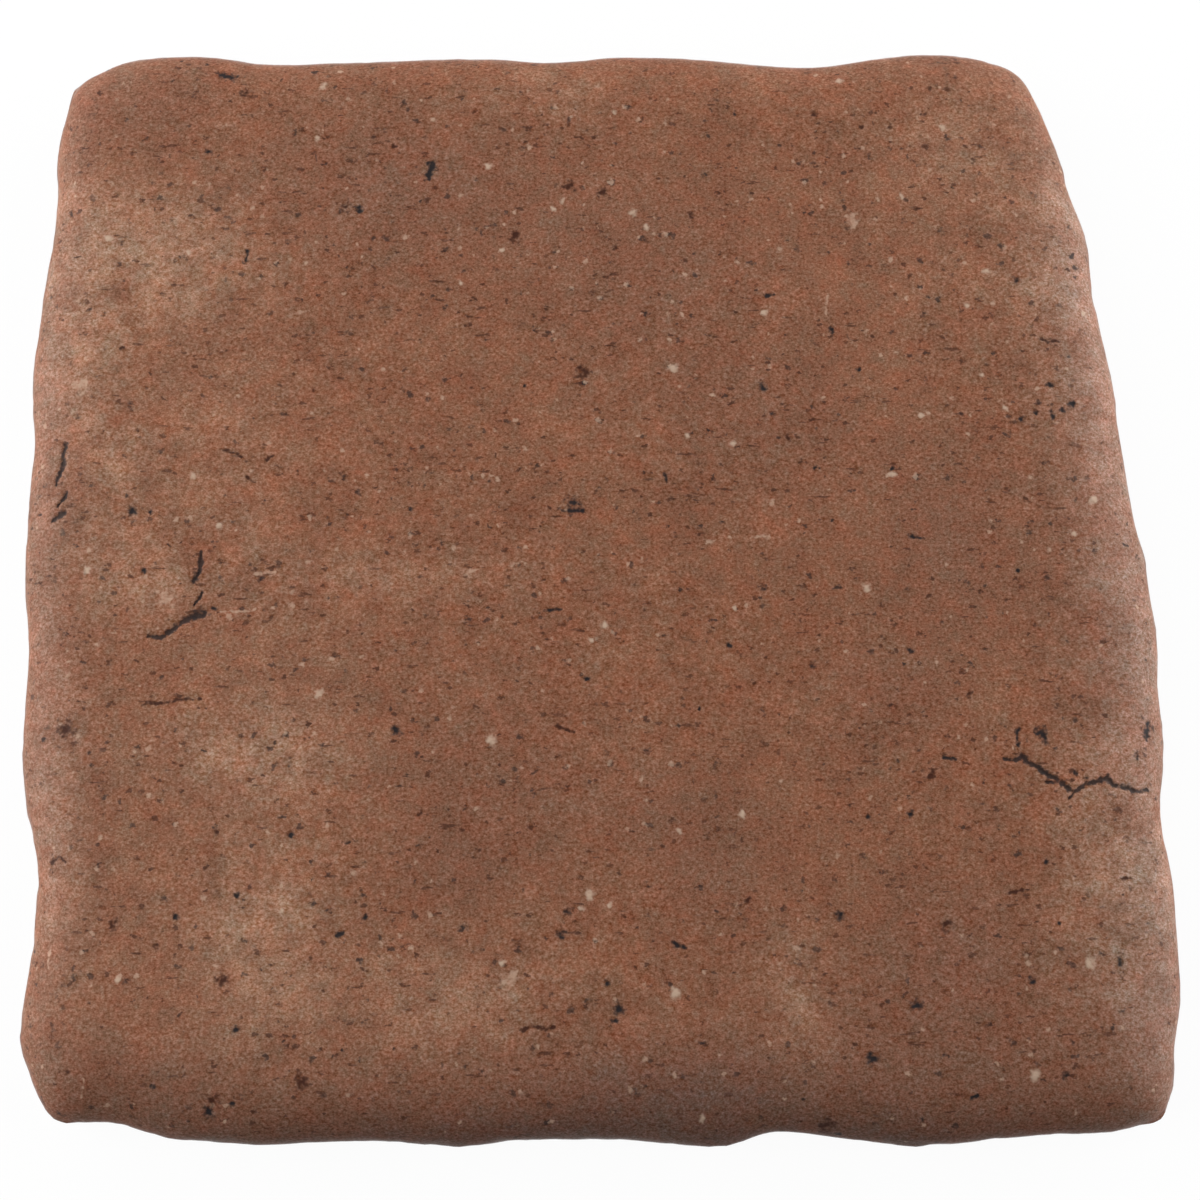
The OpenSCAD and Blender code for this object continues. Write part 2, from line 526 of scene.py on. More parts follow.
def face_patches() -> list[Patch]:
    """Dusty and smoked patches, painted shade on the near edge, painted highlight on the sides.

    Returns:
        The patches, kind by kind.
    """
    return [
        *patches(
            PatchKind.DUST,
            ((-5, 66), (8, 4), 0.21), ((52, 57), (9, 8), 0.3), ((-60, 42), (13, 9), 0.54),
            ((62, 38), (6, 16), 0.24), ((-64, 12), (6, 12), 0.27), ((-58, -4), (8, 5), 0.18),
            ((-30, -3), (22, 3), 0.18), ((-41, -26), (11, 6), 0.51), ((-40, -50), (9, 12), 0.42),
            ((-17, -56), (13, 6), 0.36), ((27, -56), (4, 9), 0.3), ((67, -42), (7, 13), 0.42),
            ((-68, 30), (5, 9), 0.25), ((-50, 14), (10, 20), 0.13), ((48, 38), (8, 8), 0.1),
            ((-38, -14), (12, 8), 0.1), ((-62, -48), (12, 12), 0.12), ((-66, -30), (6, 9), 0.2),
        ),
        *patches(
            PatchKind.SMOKE,
            ((-25, 52), (20, 12), 0.3), ((-60, 64), (10, 6), 0.24), ((8, 40), (18, 14), 0.24),
            ((24, 18), (14, 12), 0.18), ((48, 2), (10, 12), 0.27), ((-14, -27), (12, 12), 0.18),
            ((40, -18), (9, 7), 0.21), ((-16, -40), (9, 7), 0.24), ((16, -42), (9, 8), 0.21),
            ((46, -50), (12, 10), 0.3), ((10, -67), (16, 5), 0.36), ((-58, -66), (14, 5), 0.18),
            # Painted shade: the two long near-edge strips darken the side away from the lamps.
            ((0, -70), (85, 9), 0.35), ((8, -76), (78, 5), 0.9), ((72, -58), (8, 8), 0.18),
            ((45, -62), (28, 9), 0.22), ((8, -33), (14, 7), 0.18),
        ),
        # Painted highlight: pale grey strips along the left and right cushion edges.
        *patches(
            PatchKind.BLOOM,
            ((69.5, 38), (7, 24), 0.18), ((-74, 40), (6, 24), 0.08), ((73.5, -4), (9, 24), 0.17),
            ((-73.5, 5), (6, 20), 0.08), ((-70, -32), (6, 24), 0.1), ((74, -46), (9, 24), 0.17),
        ),
    ]


@dataclass(frozen=True)
class SpeckLayer:
    """One layer of scattered specks.

    Attributes:
        paint: Its colour.
        amount: How much of that colour shows.
        spacing: Distance between the places that may hold one, in mm.
        width: Width of the widest, in mm.
        share: Part of the places that hold one.
        ragged: How uneven the edges are, as a part of the width.
        stretch: How many times longer they are from left to right.
        cluster: How strongly they crowd in the darker places.
    """

    paint: Colour
    amount: float
    spacing: float
    width: float
    share: float
    ragged: float = 0.5
    stretch: float = 1.0
    cluster: float = 0.0


@dataclass(frozen=True)
class MarkLayer:
    """How one kind of mark is painted.

    Attributes:
        kind: The kind.
        paint: Its colour.
        amount: How much of that colour shows.
        soft: How soft its edge is, as a part of its width.
        ragged: How uneven its edge is.
    """

    kind: MarkKind
    paint: Colour
    amount: float
    soft: float
    ragged: float


@dataclass(frozen=True)
class Finish:
    """A matt fired finish.

    Attributes:
        name: The material's name.
        roughness: How matt it is.
        grain_size: Size of the widest grain.
        grain_depth: Depth of the grain's bumps.
        cloud_size: Size of the widest clouds.
    """

    name: str
    roughness: float
    grain_size: float
    grain_depth: float
    cloud_size: float

    def material(self, effects: ClayEffects) -> bpy.types.Material:
        """Builds the finish.

        Args:
            effects: The shared node groups.

        Returns:
            The material.
        """
        material = bpy.data.materials.new(self.name)
        material.use_nodes = True
        graph = Graph(material.node_tree)
        shader = material.node_tree.nodes["Principled BSDF"]
        place = graph.object_place()
        grain = graph.group(effects.trees[GroupName.GRAIN], {"Vector": place, "Size": self.grain_size})
        clouds = graph.group(effects.trees[GroupName.MOTTLE], {"Vector": place, "Size": self.cloud_size})
        graph.tree.links.new(self._colour(graph, effects, grain, clouds), shader.inputs["Base Color"])
        shader.inputs["Roughness"].default_value = self.roughness
        bump = graph.add("Bump", {"Height": grain, "Strength": 0.5, "Distance": self.grain_depth})
        graph.tree.links.new(bump.outputs[0], shader.inputs["Normal"])
        return material

    def _colour(self, graph: Graph, effects: ClayEffects, grain: Socket, clouds: Socket) -> Socket:
        """The finish's colour, which each finish wires for itself."""
        raise NotImplementedError


@dataclass(frozen=True)
class FiredFace(Finish):
    """The matt fired face: brick-brown clay, mottled and grained, with specks and marks.

    Attributes:
        clay: The clay's own colour.
        dust: The colour of its dusty patches.
        smoke_and_shade: The colour of its smoked patches and of the near edge's painted shade.
        painted_highlight: The colour of the painted highlight on the left and right edges.
        iron: The colour of the iron specks and of the cracks.
        umber: The colour of the brown-black specks and streaks.
        cream: The colour of the grit.
        chalk: The colour of the smears and scratches.
        mottle: How strongly red, green and blue change in the clouds.
        redness: How they change from the greener to the redder places.
        grain: How they change in the grain.
        shine: How strongly it mirrors.
        dusting: How much fine dust pales it where it is seen at a low angle.
        dust_spread: How wide that angle is.
        tint_size: Size of the widest greener and redder places.
        tint_shift: How far their pattern lies from the clouds' one.
        mark_waves: Waves to the metre in the marks' uneven edges.
    """

    name: str = "fired_face"
    roughness: float = 0.57
    grain_size: float = 0.36 * MM
    grain_depth: float = 0.06 * MM
    cloud_size: float = 10.8 * MM
    clay: Colour = paint(127, 85, 64)
    dust: Colour = paint(161, 126, 103)
    smoke_and_shade: Colour = paint(100, 73, 62)
    painted_highlight: Colour = paint(176, 160, 150)
    iron: Colour = paint(27, 26, 28)
    umber: Colour = paint(54, 28, 19)
    cream: Colour = paint(188, 164, 143)
    chalk: Colour = paint(190, 160, 138)
    mottle: Change = (0.93, 0.93, 0.88)
    redness: Change = (0.53, -0.33, -0.6)
    grain: Change = (1.7, 2.5, 3.4)
    shine: float = 0.08
    dusting: float = 0.7
    dust_spread: float = 0.2
    tint_size: float = 4.6 * MM
    tint_shift: Change = (0.3, 0.2, 0.1)
    mark_waves: float = 1300.0

    def material(self, effects: ClayEffects) -> bpy.types.Material:
        """Builds the finish with its shine and its dust.

        Args:
            effects: The shared node groups.

        Returns:
            The material.
        """
        material = super().material(effects)
        shader = material.node_tree.nodes["Principled BSDF"]
        shader.inputs["Specular IOR Level"].default_value = self.shine
        shader.inputs["Sheen Weight"].default_value = self.dusting
        shader.inputs["Sheen Roughness"].default_value = self.dust_spread
        return material

    def _colour(self, graph: Graph, effects: ClayEffects, grain: Socket, clouds: Socket) -> Socket:
        """The clay with its patches, clouds, grain, specks and marks.

        Args:
            graph: The material's graph.
            effects: The shared node groups.
            grain: The grain, about 0.
            clouds: The clouds, about 0.

        Returns:
            The colour.
        """
        elsewhere = {"Vector": graph.object_place(), "Location": self.tint_shift}
        elsewhere = graph.add("Mapping", elsewhere).outputs[0]
        inputs = {"Vector": elsewhere, "Size": self.tint_size}
        redder = graph.group(effects.trees[GroupName.MOTTLE], inputs)
        colour = self._patched(graph, clouds)
        for amount, change in ((clouds, self.mottle), (redder, self.redness), (grain, self.grain)):
            colour = graph.vary(colour, amount, change)
        return self._marked(graph, self._specked(graph, colour, effects, clouds))

    def _patched(self, graph: Graph, clouds: Socket) -> Socket:
        """The clay with the mesh's patches, which the clouds break up.

        Args:
            graph: The material's graph.
            clouds: The clouds, about 0.

        Returns:
            The colour with the patches.
        """
        colour = self.clay
        broken = graph.math("MULTIPLY_ADD", clouds, 3.0, 1.0)
        # The highlight patches lay a painted highlight on the left and right edges.
        # The smoke-and-shade patches hold smoke marks and the painted shade of the near edge.
        layers = (
            (PatchKind.SMOKE, self.smoke_and_shade), (PatchKind.DUST, self.dust), (PatchKind.BLOOM, self.painted_highlight)
        )
        for kind, layer in layers:
            amount = graph.math("MULTIPLY", graph.attribute(kind.value), broken)
            colour = graph.blend(amount, colour, layer)
        return colour

    def _specked(self, graph: Graph, colour: Socket, effects: ClayEffects, clouds: Socket) -> Socket:
        """The clay with dashes, specks and grit all over, the dark ones mostly where clouds is low.

        Args:
            graph: The material's graph.
            colour: The colour so far.
            effects: The shared node groups.
            clouds: The clouds, about 0.

        Returns:
            The colour with the specks.
        """
        place = graph.object_place()
        layers = (
            SpeckLayer(self.umber, 0.8, 1.2, 0.48, 0.42, ragged=1.5, stretch=3.8, cluster=3.2),
            SpeckLayer(self.umber, 0.82, 1.2, 0.66, 0.45, ragged=1.2, stretch=1.4, cluster=2.5),
            SpeckLayer(self.iron, 0.88, 1.9, 0.85, 0.45, ragged=1.1, stretch=1.1, cluster=2.5),
            SpeckLayer(self.chalk, 0.7, 1.9, 0.7, 0.34, ragged=0.8),
        )
        for layer in layers:
            where = graph.stretch(place, layer.stretch) if layer.stretch != 1.0 else place
            share = graph.math("MULTIPLY_ADD", clouds, -layer.cluster, layer.share)
            inputs = {"Vector": where, "Spacing": layer.spacing * MM, "Width": layer.width * MM,
                      "Share": share, "Ragged": layer.ragged}
            mask = graph.group(effects.trees[GroupName.SPECKS], inputs)
            colour = graph.blend(graph.math("MULTIPLY", mask, layer.amount), colour, layer.paint)
        return colour

    def _marked(self, graph: Graph, colour: Socket) -> Socket:
        """The clay with the single marks that the mesh carries.

        Args:
            graph: The material's graph.
            colour: The colour so far.

        Returns:
            The colour with the marks.
        """
        wobble = graph.noise(graph.object_place(), self.mark_waves, detail=1.0, rough=0.7)
        ragged = graph.math("SUBTRACT", wobble, 0.5)
        layers = (
            MarkLayer(MarkKind.UMBER, self.umber, 0.95, 0.5, ragged=2.4),
            MarkLayer(MarkKind.CHALK, self.chalk, 0.52, 0.5, ragged=3.0),
            MarkLayer(MarkKind.GRIT, self.cream, 0.8, 0.4, ragged=1.2),
            MarkLayer(MarkKind.IRON, self.iron, 0.97, 0.45, ragged=1.8),
            MarkLayer(MarkKind.CRACK, self.iron, 0.88, 0.33, ragged=1.5),
        )
        for layer in layers:
            level = graph.math("MULTIPLY_ADD", ragged, layer.ragged, graph.attribute(layer.kind.value))
            mask = graph.step(level, 0.5 - layer.soft, 0.5 + layer.soft)
            colour = graph.blend(graph.math("MULTIPLY", mask, layer.amount), colour, layer.paint)
        return colour


@dataclass(frozen=True)
class FiredBody(Finish):
    """The bare fired body of the back: even clay with press dust on its ribs.

    Attributes:
        clay: The clay's own colour.
        dust: The colour of the press dust.
        iron: The colour of the specks.
        smear_size: Size of the widest smears of dust.
        dust_height: Height above the ribs where the dust ends.
    """

    name: str = "fired_body"
    roughness: float = 0.8
    grain_size: float = 1.2 * MM
    grain_depth: float = 0.08 * MM
    cloud_size: float = 18 * MM
    clay: Colour = paint(158, 108, 84)
    dust: Colour = paint(196, 170, 150)
    iron: Colour = paint(64, 52, 50)
    smear_size: float = 9 * MM
    dust_height: float = 0.3 * MM

    def _colour(self, graph: Graph, effects: ClayEffects, grain: Socket, clouds: Socket) -> Socket:
        """The clay with dust on its ribs, clouds, specks and grain.

        Args:
            graph: The material's graph.
            effects: The shared node groups.
            grain: The grain, about 0.
            clouds: The clouds, about 0.

        Returns:
            The colour.
        """
        place = graph.object_place()
        height = graph.add("SeparateXYZ", {0: place}).outputs["Z"]
        inputs = {"Vector": graph.stretch(place, 1.6), "Size": self.smear_size}
        smears = graph.group(effects.trees[GroupName.MOTTLE], inputs)
        low = graph.step(height, self.dust_height, 0.0)
        on_ribs = graph.math("MULTIPLY", low, graph.step(smears, -0.2, 0.2))
        colour = graph.blend(graph.math("MULTIPLY", on_ribs, 0.5), self.clay, self.dust)
        colour = graph.vary(colour, clouds, (0.9, 1.0, 1.0))
        specks = graph.group(
            effects.trees[GroupName.SPECKS],
            {"Vector": place, "Spacing": 2.2 * MM, "Width": 0.7 * MM, "Share": 0.3, "Ragged": 0.4},
        )
        colour = graph.blend(graph.math("MULTIPLY", specks, 0.7), colour, self.iron)
        return graph.vary(colour, grain, (0.9, 1.0, 1.1))


@dataclass
class CadTile:
    """The CAD tile, which is only read: where its surface lies.

    Attributes:
        node: The CAD node.
        surface: Its surface, for casting rays at.
        outside: A distance from the middle that is well outside the tile.
        cell_top: Height that every cell's floor stays below.
        cell_field: Distance from the middle that every cell stays within, along X and Y.
        weld: Distance within which the CAD's points are one.
    """

    node: bpy.types.Object
    surface: BVHTree = field(init=False)
    outside: float = 200 * MM
    cell_top: float = 1.0 * MM
    cell_field: float = 64 * MM
    weld: float = 0.001 * MM

    def __post_init__(self) -> None:
        """Prepares the surface for casting rays at it."""
        self.surface = BVHTree.FromObject(self.node, bpy.context.evaluated_depsgraph_get())

    def hit(self, start: Vector, heading: Vector) -> Vector:
        """The first point of the surface from a start in a heading.

        Args:
            start: Where the ray starts.
            heading: Where it goes.

        Returns:
            The point that it meets.
        """
        point = self.surface.ray_cast(start, heading)[0]
        if point is None:
            raise ValueError(f"no surface from {start} towards {heading}")
        return point

    def wall(self, heading: Vector, height: float) -> Vector:
        """The wall's point at a height, in a level heading from the middle."""
        return self.hit(heading * self.outside + Vector((0.0, 0.0, height)), -heading)

    def above(self, x: float, y: float, height: float) -> Vector:
        """The face's point over a place that is inside the tile."""
        return self.hit(Vector((x, y, height)), Vector((0.0, 0.0, 1.0)))

    def cells(self) -> bpy.types.Mesh:
        """A merged copy of the back's pressed-in cells alone, open towards the floor.

        Returns:
            Their mesh.
        """
        copy = bmesh.new()
        copy.from_mesh(self.node.data)
        bmesh.ops.remove_doubles(copy, verts=copy.verts, dist=self.weld)
        others = [face for face in copy.faces if not self._in_cell(face.calc_center_median())]
        bmesh.ops.delete(copy, geom=others, context="FACES")
        mesh = bpy.data.meshes.new(NODE + "_cells")
        copy.to_mesh(mesh)
        copy.free()
        if "custom_normal" in mesh.attributes:
            mesh.attributes.remove(mesh.attributes["custom_normal"])
        return mesh

    def _in_cell(self, middle: Vector) -> bool:
        """True for the middle of a face that is a cell's wall or floor."""
        inside = max(abs(middle.x), abs(middle.y)) < self.cell_field
        return inside and 0.01 * MM < middle.z < self.cell_top


@dataclass
class TileSkin:
    """The tile's skin: a fine grid laid over the CAD face and wall, closed by the CAD back.

    Attributes:
        cad: The CAD tile.
        across: Grid cells across the tile, from wall foot to wall foot.
        wall_rows: Rows of cells up the wall.
        cushion_rows: Rows of cells over the cushion edge.
        foot: Height of the bevel round the wall's foot.
        shoulder: Height where the wall turns into the cushion edge.
        rise: Height of the cushion edge.
        inner: Size of the field inside the cushion edge, as a part of the outline.
        smoothing: Passes that even out the CAD mesh's facets.
    """

    cad: CadTile
    across: int = 212
    wall_rows: int = 5
    cushion_rows: int = 16
    foot: float = 0.8 * MM
    shoulder: float = 5.0 * MM
    rise: float = 5.0 * MM
    inner: float = 0.873
    smoothing: int = 24

    def grow(self) -> bmesh.types.BMesh:
        """Lays the grid over the CAD tile.

        Returns:
            The open skin, from the wall's foot up and over the face.
        """
        skin = bmesh.new()
        skin.loops.layers.uv.new(BAKE_MAP)
        bmesh.ops.create_grid(
            skin, x_segments=self.across, y_segments=self.across, size=1.0, calc_uvs=True
        )
        for vert in skin.verts:
            vert.co = self._over_cad(vert.co.x, vert.co.y)
        upper = [vert for vert in skin.verts if vert.co.z > self.shoulder]
        axes = {"use_axis_x": True, "use_axis_y": True, "use_axis_z": True}
        for _ in range(self.smoothing):
            bmesh.ops.smooth_vert(skin, verts=upper, factor=0.5, **axes)
        return skin

    def _over_cad(self, along: float, across: float) -> Vector:
        """Lays one grid point on the CAD surface.

        Args:
            along: Its place from -1 to 1 along X on the grid.
            across: Its place from -1 to 1 along Y on the grid.

        Returns:
            The point on the CAD surface.
        """
        ring = max(abs(along), abs(across))
        if ring < 1e-6:
            return self.cad.above(0.0, 0.0, self.shoulder)
        heading = Vector((along, across, 0.0)).normalized()
        up_wall = (1.0 - ring) * self.across / 2 / self.wall_rows
        if up_wall <= 1.0:
            height = self.foot + (self.shoulder - self.foot) * up_wall
            return self.cad.wall(heading, max(height, self.foot + 0.01 * MM))
        wall = self.cad.wall(heading, self.shoulder)
        over_cushion = (up_wall - 1.0) * self.wall_rows / self.cushion_rows
        if over_cushion <= 1.0:
            turn = math.pi / 2 * over_cushion
            start = Vector((wall.x * self.inner, wall.y * self.inner, self.shoulder))
            level = heading * (wall - start).length * math.cos(turn)
            aim = level + Vector((0.0, 0.0, self.rise * math.sin(turn)))
            return self.cad.hit(start, aim.normalized())
        field_rows = self.across / 2 - self.wall_rows - self.cushion_rows
        part = self.inner * ring * self.across / 2 / field_rows
        return self.cad.above(wall.x * part, wall.y * part, self.shoulder)

    def close(self, skin: bmesh.types.BMesh) -> None:
        """Closes the skin below: the foot's bevel, the cells, and the ribs between them.

        Args:
            skin: The skin, open below.
        """
        rim = [edge for edge in skin.edges if edge.is_boundary]
        foot = bmesh.ops.extrude_edge_only(skin, edges=rim)["geom"]
        for vert in (item for item in foot if isinstance(item, bmesh.types.BMVert)):
            heading = Vector((vert.co.x, vert.co.y, 0.0)).normalized()
            vert.co = self.cad.wall(heading, 0.001 * MM)
            vert.co.z = 0.0
        cells = self.cad.cells()
        skin.from_mesh(cells)
        bpy.data.meshes.remove(cells)
        around_ribs = [edge for edge in skin.edges if edge.is_boundary]
        bmesh.ops.triangle_fill(skin, edges=around_ribs, use_beauty=True)
        bmesh.ops.recalc_face_normals(skin, faces=skin.faces)


@dataclass
class FaceRelief:
    """The fired clay's relief: soft hollows, rough skin, a knocked rim, open cracks and pits.

    Attributes:
        marks: The marks on the face.
        patches: The soft patches of the face's colour.
        depth: How deep the skin is pressed in or raised at each kind of mark, in mm.
        lowest: Height that relief and marks start at.
        pit_start: Level of a mark where its pit starts.
        pit_span: How much higher that level is where the pit is deepest.
        warps: How far marks are pulled out of shape, and over what length, in mm.
    """

    marks: list[Mark]
    patches: list[Patch]
    depth: dict[MarkKind, float] = field(default_factory=lambda: {
        MarkKind.CRACK: -0.18,
        MarkKind.IRON: -0.1,
        MarkKind.UMBER: -0.06,
        MarkKind.GRIT: 0.04,
        MarkKind.CHALK: -0.02,
    })
    lowest: float = 1.0 * MM
    pit_start: float = 0.35
    pit_span: float = 0.4
    warps: tuple[Place, ...] = ((0.3, 2.2), (0.2, 0.7))

    def refine(self, skin: bmesh.types.BMesh, reach: float) -> None:
        """Halves the faces near the marks.

        Args:
            skin: The tile's skin.
            reach: How far past a mark's edge the halving goes, in mm.
        """
        faces = [face for face in skin.faces if face.calc_center_median().z > self.lowest]
        places = np.array([face.calc_center_median().xy for face in faces]) / MM
        near = np.zeros(len(faces), dtype=bool)
        for mark in self.marks:
            near |= mark.level(places) > 0.5 - reach / mark.width
        edges = dict.fromkeys(edge for face, wanted in zip(faces, near) if wanted for edge in face.edges)
        bmesh.ops.subdivide_edges(skin, edges=list(edges), cuts=1, use_grid_fill=True)

    def carve(self, mesh: bpy.types.Mesh) -> None:
        """Moves the skin along its normals and stores each kind of mark on it.

        Args:
            mesh: The finished tile's mesh.
        """
        count = len(mesh.vertices)
        places, normals = np.empty(count * 3), np.empty(count * 3)
        mesh.vertices.foreach_get("co", places)
        mesh.vertices.foreach_get("normal", normals)
        places, normals = places.reshape(-1, 3), normals.reshape(-1, 3)
        above = places[:, 2] > self.lowest
        height = np.where(above, self._skin(places / MM, normals), 0.0)
        around = self._warped(places / MM)
        for kind in MarkKind:
            level = np.full(count, -1.0)
            for mark in self.marks:
                if mark.kind is kind:
                    level = np.where(above, np.maximum(level, mark.level(around)), level)
            attribute = mesh.attributes.new(kind.value, "FLOAT", "POINT")
            attribute.data.foreach_set("value", level)
            inside = np.clip((level - self.pit_start) / self.pit_span, 0.0, 1.0)
            height += self.depth[kind] * inside * inside * (3.0 - 2.0 * inside)
        for kind in PatchKind:
            level = sum(patch.level(places[:, :2] / MM) for patch in self.patches if patch.kind is kind)
            attribute = mesh.attributes.new(kind.value, "FLOAT", "POINT")
            attribute.data.foreach_set("value", np.minimum(level, 1.0) * above)
        places += normals * height[:, None] * MM
        mesh.vertices.foreach_set("co", places.ravel())
        mesh.update()

    def _warped(self, places: np.ndarray) -> np.ndarray:
        """Places on the face moved a little this way and that, so that marks get uneven edges.

        Args:
            places: Where each point is, in mm.

        Returns:
            The moved places along X and Y, in mm.
        """
        moved = places[:, :2].copy()
        for index, place in enumerate(places):
            for reach, length in self.warps:
                moved[index] += reach * np.array(noise.noise_vector(Vector(place) / length).xy)
        return moved

    @staticmethod
    def _skin(places: np.ndarray, normals: np.ndarray) -> np.ndarray:
        """The relief that covers the whole skin.

        Args:
            places: Where each point is, in mm.
            normals: Which way the skin faces there.

        Returns:
            How far each point stands out, in mm.
        """
        steep = 1.0 - np.clip(normals[:, 2], 0.0, 1.0)
        heights = np.empty(len(places))
        for index, (place, slope) in enumerate(zip(places, steep)):
            point = Vector(place)
            hollow = noise.noise(point / 11.0) + 0.5 * noise.noise(point / 5.0)
            rough = noise.noise(point / 1.6)
            knock = min(0.0, noise.noise(point / 3.5) + 0.5 * noise.noise(point / 1.8))
            heights[index] = 0.08 * hollow + 0.025 * rough + 0.35 * slope * knock
        return heights


@dataclass
class TilePiece:
    """The finished tile: its mesh, its bake map and its materials.

    Attributes:
        cad: The CAD tile.
        effects: The shared node groups.
        halvings: How far past a mark's edge each halving of the faces goes, in mm.
        crease: Angle from which an edge is sharp, in degrees.
        back_top: Height that the back's faces stay below.
        face_strip: Part of the bake map's width that the face has.
        back_strip: Part of its width that the back has.
        back_middle: Middle of the back's strip.
        map_span: Length on the back that fills its strip.
    """

    cad: CadTile
    effects: ClayEffects
    halvings: tuple[float, ...] = (0.6, 0.1)
    crease: float = 40.0
    back_top: float = 0.9 * MM
    face_strip: float = 0.84
    back_strip: float = 0.14
    back_middle: float = 0.92
    map_span: float = 160 * MM

    def build(self) -> bpy.types.Object:
        """Makes the tile.

        Returns:
            The tile's object.
        """
        layer, relief = TileSkin(self.cad), FaceRelief(face_marks(), face_patches())
        skin = layer.grow()
        for reach in self.halvings:
            relief.refine(skin, reach)
        layer.close(skin)
        mesh = bpy.data.meshes.new("fired_tile")
        skin.to_mesh(mesh)
        skin.free()
        relief.carve(mesh)
        mesh.materials.append(FiredFace().material(self.effects))
        mesh.materials.append(FiredBody().material(self.effects))
        self._paint_back(mesh)
        mesh.polygons.foreach_set("use_smooth", [face.material_index == 0 for face in mesh.polygons])
        mesh.set_sharp_from_angle(angle=math.radians(self.crease))
        piece = bpy.data.objects.new("fired_tile", mesh)
        bpy.context.scene.collection.objects.link(piece)
        return piece

    def _paint_back(self, mesh: bpy.types.Mesh) -> None:
        """Gives the back its own material and its own strip of the bake map.

        Args:
            mesh: The tile's mesh.
        """
        bake_map = mesh.uv_layers[BAKE_MAP].data
        for face in mesh.polygons:
            back = face.center.z < self.back_top
            face.material_index = int(back)
            for loop in face.loop_indices:
                if back:
                    place = mesh.vertices[mesh.loops[loop].vertex_index].co / self.map_span
                    bake_map[loop].uv = (self.back_middle + place.x * self.back_strip, 0.5 + place.y)
                else:
                    bake_map[loop].uv = (bake_map[loop].uv.x * self.face_strip, bake_map[loop].uv.y)


@dataclass(frozen=True)
class SoftBox:
    """A square lamp that faces the tile.

    Attributes:
        name: Its name.
        bearing: Where it hangs, in degrees round from the tile's right towards its far side.
        rise: How high it hangs, in degrees above the floor.
        power: Its power, in watts.
        reach: Its distance from the tile.
        side: Length of its side.
    """

    name: str
    bearing: float
    rise: float
    power: float
    reach: float = 500 * MM
    side: float = 400 * MM

    def hang(self) -> None:
        """Makes the lamp."""
        lamp = bpy.data.lights.new(self.name, "AREA")
        lamp.size = self.side
        lamp.energy = self.power
        stand = bpy.data.objects.new(self.name, lamp)
        bearing, rise = math.radians(self.bearing), math.radians(self.rise)
        level = Vector((math.cos(bearing), math.sin(bearing), 0.0)) * math.cos(rise)
        stand.location = (level + Vector((0.0, 0.0, math.sin(rise)))) * self.reach
        stand.rotation_euler = (-stand.location).to_track_quat("-Z", "Y").to_euler()
        bpy.context.scene.collection.objects.link(stand)


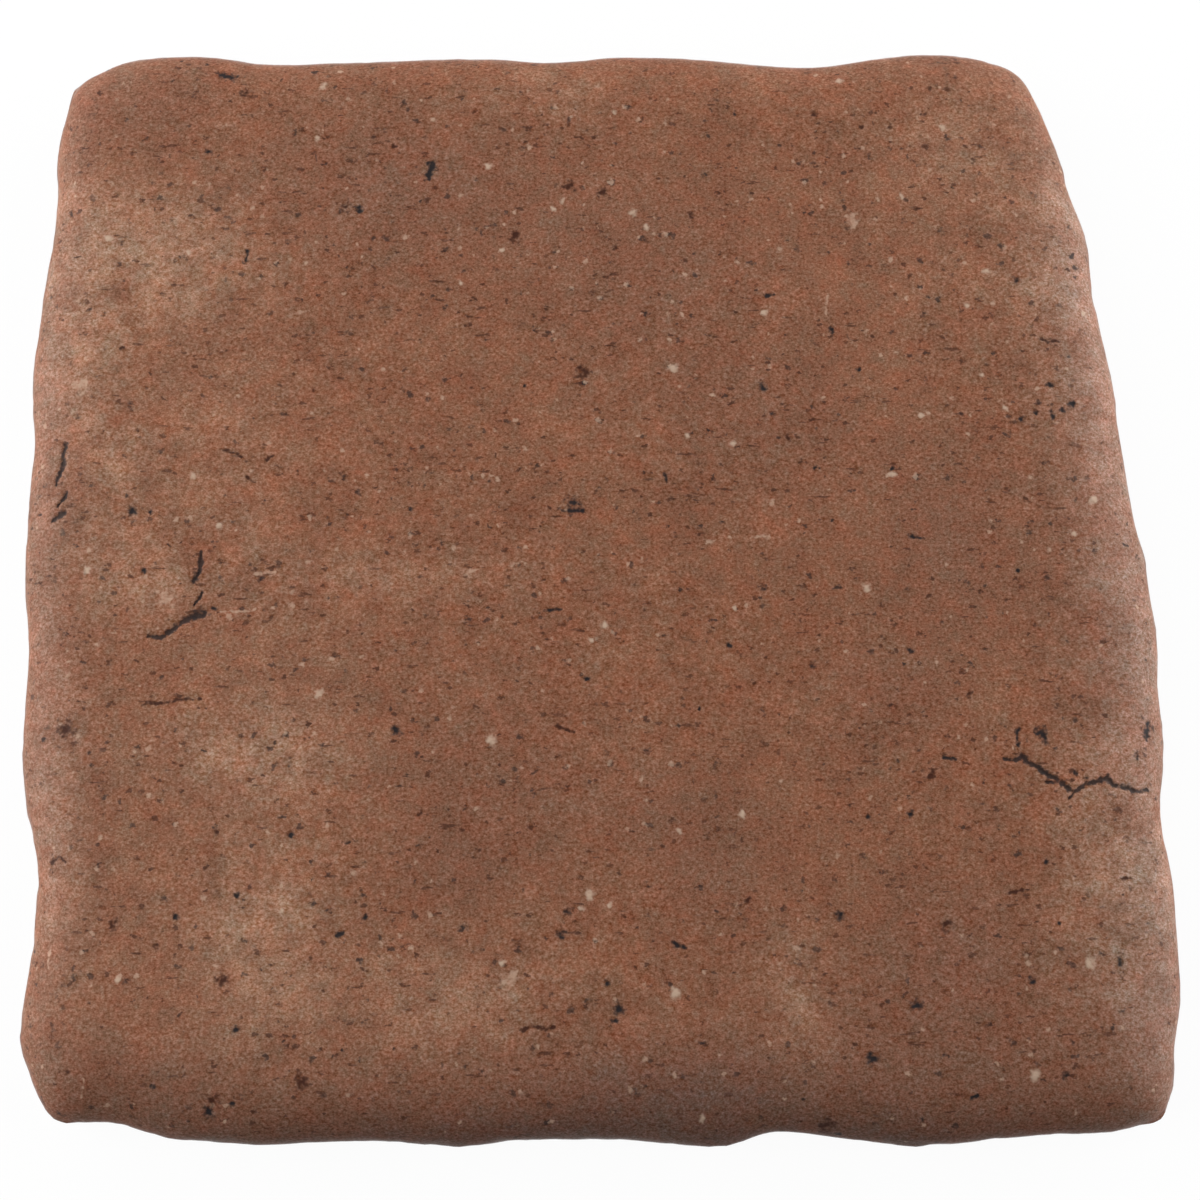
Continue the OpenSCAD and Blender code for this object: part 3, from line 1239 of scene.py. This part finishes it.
@dataclass
class Studio:
    """The floor, the lamps, the room and the camera.

    Attributes:
        lens: The camera's lens, in mm.
        stand_off: How far the camera is from what it looks at.
        lean: How far it leans back from straight down, in degrees.
        aim: What it looks at.
        room_light: Strength of the even light from all round.
        backdrop: Brightness of the room where it is seen.
        floor_reach: Distance from the middle of the floor to its edge.
        floor_shade: How pale the floor is for the light that it throws on the tile.
        floor_paper: How pale it is where it is seen.
        floor_glow: Part of what is seen of it that is even white.
        boxes: The lamps.
    """

    lens: float = 50.0
    stand_off: float = 217.4 * MM
    lean: float = 12.0
    aim: tuple[float, float, float] = (1.95 * MM, -5.82 * MM, 9 * MM)
    room_light: float = 0.0
    backdrop: float = 0.97
    floor_reach: float = 1.5
    floor_shade: float = 0.4
    floor_paper: float = 0.9
    floor_glow: float = 0.95
    boxes: tuple[SoftBox, ...] = (
        SoftBox("left_box", 180, 50, 1.22),
        SoftBox("low_left_box", 180, 10, 3.05),
        SoftBox("far_left_box", 135, 10, 1.85),
        SoftBox("far_right_box", 45, 13, 2.4),
        SoftBox("low_right_box", 0, 10, 3.35),
    )

    def build(self) -> None:
        """Makes the whole studio."""
        self._floor()
        for box in self.boxes:
            box.hang()
        self._room()
        self._camera()

    @staticmethod
    def _seen(graph: Graph) -> Socket:
        """1 for what is seen, straight on or in a gloss or glass, and 0 for what lights the tile.

        Args:
            graph: The material's graph.

        Returns:
            The factor, 0 or 1.
        """
        path = graph.add("LightPath").outputs
        mirrored = graph.math("MAXIMUM", path["Is Glossy Ray"], path["Is Transmission Ray"])
        return graph.math("MAXIMUM", path["Is Camera Ray"], mirrored)

    def _floor(self) -> None:
        """A wide pale floor that keeps the tile's shadow and throws only a little light back."""
        mesh = bpy.data.meshes.new("floor")
        grid = bmesh.new()
        bmesh.ops.create_grid(grid, x_segments=2, y_segments=2, size=self.floor_reach)
        grid.to_mesh(mesh)
        grid.free()
        floor = bpy.data.objects.new("floor", mesh)
        bpy.context.scene.collection.objects.link(floor)
        material = bpy.data.materials.new("floor_paper")
        material.use_nodes = True
        graph = Graph(material.node_tree)
        nodes = material.node_tree.nodes
        paper = nodes["Principled BSDF"]
        paper.inputs["Roughness"].default_value = 0.9
        paper.inputs["Specular IOR Level"].default_value = 0.0
        glow = graph.add("Emission", {"Color": WHITE, "Strength": 1.0})
        seen = self._seen(graph)
        pale = graph.step(seen, 0.0, 1.0, self.floor_shade, self.floor_paper)
        graph.tree.links.new(pale, paper.inputs["Base Color"])
        share = graph.math("MULTIPLY", seen, self.floor_glow)
        mixed = graph.add("MixShader", {0: share, 1: paper.outputs[0], 2: glow.outputs[0]})
        graph.tree.links.new(mixed.outputs[0], nodes["Material Output"].inputs["Surface"])
        mesh.materials.append(material)

    def _room(self) -> None:
        """A white room where it is seen, with light from all round as strong as room_light."""
        world = bpy.data.worlds.new("room")
        world.use_nodes = True
        graph = Graph(world.node_tree)
        background = world.node_tree.nodes["Background"]
        background.inputs["Color"].default_value = WHITE
        strength = graph.step(self._seen(graph), 0.0, 1.0, self.room_light, self.backdrop)
        graph.tree.links.new(strength, background.inputs["Strength"])
        bpy.context.scene.world = world

    def _camera(self) -> None:
        """The camera, from above the near side."""
        camera = bpy.data.cameras.new("camera")
        camera.lens = self.lens
        camera.clip_start = 10 * MM
        holder = bpy.data.objects.new("camera", camera)
        lean = math.radians(self.lean)
        back_up = Vector((0.0, -math.sin(lean), math.cos(lean)))
        holder.location = Vector(self.aim) + back_up * self.stand_off
        holder.rotation_euler = (lean, 0.0, 0.0)
        bpy.context.scene.collection.objects.link(holder)
        bpy.context.scene.camera = holder


def main() -> None:
    """Builds the tile and the studio round the CAD frame."""
    logging.basicConfig(level=logging.INFO, format="%(name)s: %(message)s")
    # Noise vectors start from the clock unless a seed is set.
    noise.seed_set(NOISE_SEED)
    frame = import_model()
    tile = TilePiece(CadTile(frame["nodes"][NODE]), ClayEffects()).build()
    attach(tile, BODY)
    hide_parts(NODE)
    LOG.info("%s: %d faces", tile.name, len(tile.data.polygons))
    Studio().build()
    bpy.context.scene.view_settings.view_transform = "Standard"


if __name__ == "__main__":
    main()
